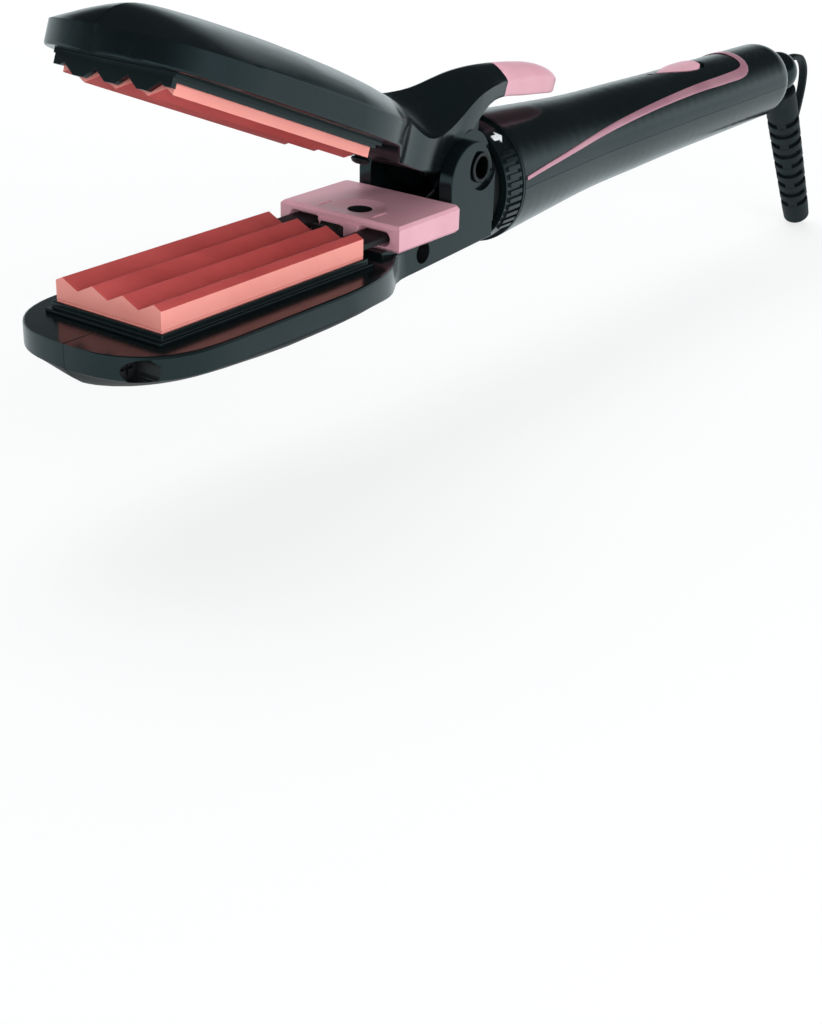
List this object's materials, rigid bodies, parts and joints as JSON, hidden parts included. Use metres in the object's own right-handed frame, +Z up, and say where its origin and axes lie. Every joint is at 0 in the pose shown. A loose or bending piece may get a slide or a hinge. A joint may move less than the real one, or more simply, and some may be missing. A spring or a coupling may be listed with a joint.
{
  "type": "hair waver",
  "caption": "Hair waver with ribbed jaw plates, a lift-off two-sided plate, a thumb lever, a tapered handle with sliding switch and lock ring, and a swivelling ribbed strain relief.",
  "frame": {"origin": "centre of the hollow hinge pin, on the middle plane", "axes": "+X towards the cord end, along the handle; +Y to the left, along the hinge; +Z up, square to the lower plate"},
  "size_m": [0.3956, 0.0524, 0.1278],
  "materials": {
    "black_gloss": "high gloss, near black",
    "pink_band": "metallic dusty pink",
    "lens": "dark translucent window",
    "board": "printed circuit board",
    "dark_plastic": "satin, near black",
    "steel": "plain steel",
    "black_ring": "satin gloss, near black",
    "white_mark": "printed white",
    "pink_plastic": "satin pink",
    "black_rubber": "matte black rubber",
    "black_frame": "gloss, near black",
    "coated_plate": "coral ceramic coating",
    "ceramic": "white ceramic heater",
    "brass": "plain brass",
    "black_pin": "blackened steel tube"
  },
  "bodies": {
    "handle": {"handle_upper_shell": "black_gloss", "handle_lower_shell": "black_gloss", "stripe_inlay": "pink_band", "indicator_lens": "lens", "control_board": "board", "switch_block": "dark_plastic", "handle_screws": "steel", "contact_socket": "dark_plastic", "swivel_retainer": "steel"},
    "ring": {"lock_ring": "black_ring", "ring_index_mark": "white_mark"},
    "slider": {"power_slider": "pink_plastic"},
    "swivel": {"swivel_ball": "black_gloss", "strain_relief": "black_rubber", "hanging_loop": "black_rubber"},
    "lower_arm": {"lower_case_near": "black_gloss", "lower_case_far": "black_gloss", "lower_case_screws": "steel", "lower_plate_frame": "black_frame", "lower_plate": "coated_plate", "lower_heater": "ceramic", "lower_heater_spring": "steel", "plate_peg": "dark_plastic", "latch_post": "dark_plastic", "head_spigot": "dark_plastic", "contact_pins": "brass", "hinge_pin": "black_pin", "hinge_spring": "steel"},
    "upper_arm": {"upper_case_near": "black_gloss", "upper_case_far": "black_gloss", "upper_case_screws": "steel", "lever_tip": "pink_plastic", "upper_plate_frame": "black_frame", "upper_plate": "coated_plate", "upper_heater": "ceramic", "upper_heater_spring": "steel", "upper_peg": "dark_plastic", "upper_post": "dark_plastic"},
    "cassette": {"cassette_plate": "coated_plate", "cassette_tongues": "dark_plastic", "cassette_grip": "pink_plastic"}
  },
  "joints": [
    {"name": "jaw_hinge", "type": "hinge", "parent": "lower_arm", "child": "upper_arm", "pos_m": [0, 0, 0], "axis": [0, 1, 0], "range_deg": [-21, 0], "stiffness_Nm_per_rad": 0.12, "springref_deg": -30, "deforming": ["hinge_spring"]},
    {"name": "cassette_lift", "type": "slide", "parent": "lower_arm", "child": "cassette", "axis": [0, 0, 1], "range_m": [0, 0.007]},
    {"name": "head_release", "type": "slide", "parent": "handle", "child": "lower_arm", "axis": [-1, 0, 0], "range_m": [0, 0.03]},
    {"name": "lock_ring_turn", "type": "hinge", "parent": "handle", "child": "ring", "pos_m": [0.0135, 0, -0.0088], "axis": [1, 0, 0], "range_deg": [0, 30]},
    {"name": "switch_slide", "type": "slide", "parent": "handle", "child": "slider", "axis": [1, 0, 0], "range_m": [0, 0.003]},
    {"name": "cord_swivel", "type": "hinge", "parent": "handle", "child": "swivel", "pos_m": [0.2166, 0, -0.0088], "axis": [1, 0, 0], "continuous": true}
  ]
}
